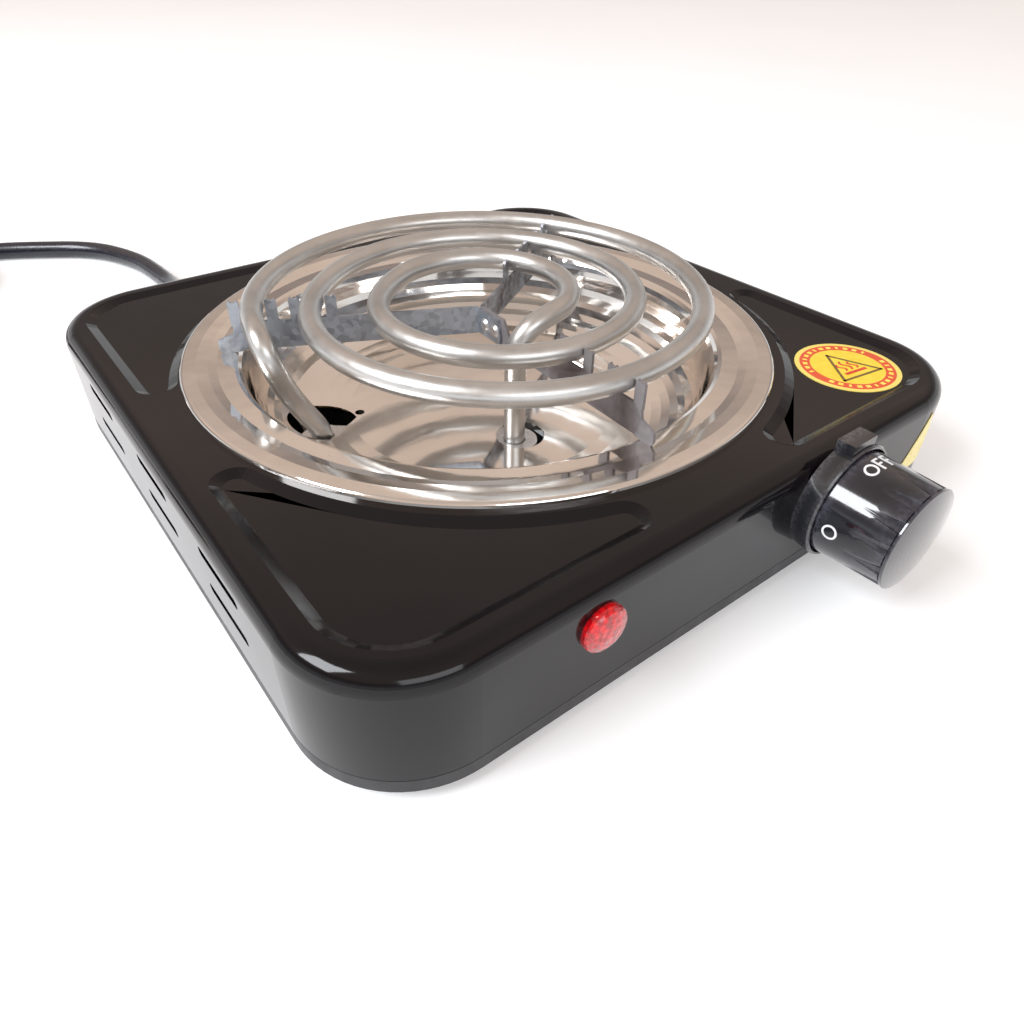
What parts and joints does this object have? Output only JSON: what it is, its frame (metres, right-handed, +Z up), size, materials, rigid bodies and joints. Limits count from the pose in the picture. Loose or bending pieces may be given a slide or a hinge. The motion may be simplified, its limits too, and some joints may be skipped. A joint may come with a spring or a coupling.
{
  "type": "hot plate burner",
  "caption": "Square single hot plate with a spiral sheathed element on three arms over a chromed drip pan, a rotary heat knob, an indicator lamp and a mains lead.",
  "frame": {"origin": "on the surface that the feet stand on, under the middle of the body with its knob", "axes": "+Z up, front with the knob and lamp at -Y, +X to the right of someone who faces the front"},
  "size_m": [0.349, 0.4723, 0.0596],
  "materials": {
    "black_enamel": "gloss black vitreous enamel",
    "black_paint": "satin black paint",
    "zinc": "bright zinc plate",
    "rubber": "matt",
    "chrome": "mirror bright",
    "element_sheath": "satin, lightly oxidised",
    "ceramic": "unglazed",
    "nickel_pin": "nickel plate",
    "brass": "bright",
    "galvanised": "galvanised sheet",
    "black_plastic": "gloss",
    "knob_plastic": "gloss phenolic",
    "white_print": "printed",
    "spring_steel": "bright",
    "copper": "copper alloy",
    "bimetal": "rolled",
    "red_lens": "clear red",
    "white_plastic": "matt",
    "lamp_glass": "clear",
    "brown_sleeve": "satin",
    "blue_sleeve": "satin",
    "green_sleeve": "satin",
    "glass_sleeve": "braided glass fibre",
    "red_sleeve": "satin",
    "clamp_plastic": "matt",
    "cord_pvc": "gloss",
    "tie_plastic": "matt",
    "label_yellow": "printed, gloss"
  },
  "bodies": {
    "housing": {"body_shell": "black_enamel", "corner_brackets": "zinc", "base_plate": "black_paint", "base_screws": "zinc", "rubber_feet": "rubber", "drip_pan": "chrome", "heating_coil": "element_sheath", "coil_end_seals": "ceramic", "coil_pins": "nickel_pin", "leg_bracket": "zinc", "push_on_receptacles": "brass", "support_arm_left": "galvanised", "support_arm_front": "galvanised", "support_arm_back": "galvanised", "hub_rivets": "zinc", "knob_bezel": "black_plastic", "shaft_bush": "brass", "bush_nut": "zinc", "thermostat_frame": "zinc", "lever_pin": "spring_steel", "contact_blade": "copper", "bimetal_blade": "bimetal", "stack_washers": "ceramic", "stack_rivet": "zinc", "indicator_lens": "red_lens", "lens_clip": "spring_steel", "indicator_housing": "white_plastic", "neon_bulb": "lamp_glass", "terminal_block": "white_plastic", "terminal_inserts": "brass", "terminal_screws": "zinc", "live_conductor": "brown_sleeve", "neutral_conductor": "blue_sleeve", "earth_conductor": "green_sleeve", "earth_tag": "brass", "earth_screw": "zinc", "thermostat_feed_wire": "glass_sleeve", "element_feed_wire": "glass_sleeve", "element_return_wire": "glass_sleeve", "lamp_leads": "red_sleeve", "cord_clamp_base": "clamp_plastic", "cord_clamp_strap": "clamp_plastic", "clamp_screws": "zinc", "strain_relief": "cord_pvc", "power_cord": "cord_pvc", "cord_coil": "cord_pvc", "cord_tie": "tie_plastic", "plug_body": "cord_pvc", "plug_blades": "brass", "plug_earth_pin": "brass", "caution_label": "label_yellow", "side_label": "label_yellow"},
    "knob": {"thermostat_shaft": "brass", "thermostat_cam": "ceramic", "knob_spring": "spring_steel", "knob_body": "knob_plastic", "knob_cap": "knob_plastic", "dial_markings": "white_print"},
    "follower": {"follower_lever": "ceramic"}
  },
  "joints": [
    {"name": "knob_turn", "type": "hinge", "parent": "housing", "child": "knob", "pos_m": [0.036, -0.09825, 0.0265], "axis": [0, 1, 0], "range_deg": [0, 270]},
    {"name": "follower_tilt", "type": "hinge", "parent": "housing", "child": "follower", "pos_m": [0.036, -0.09225, 0.0192], "axis": [-1, 0, 0], "range_deg": [0, 5.01]}
  ],
  "couplings": [
    {"joint": "follower_tilt", "follows": "knob_turn", "ratio": 0.01852}
  ]
}
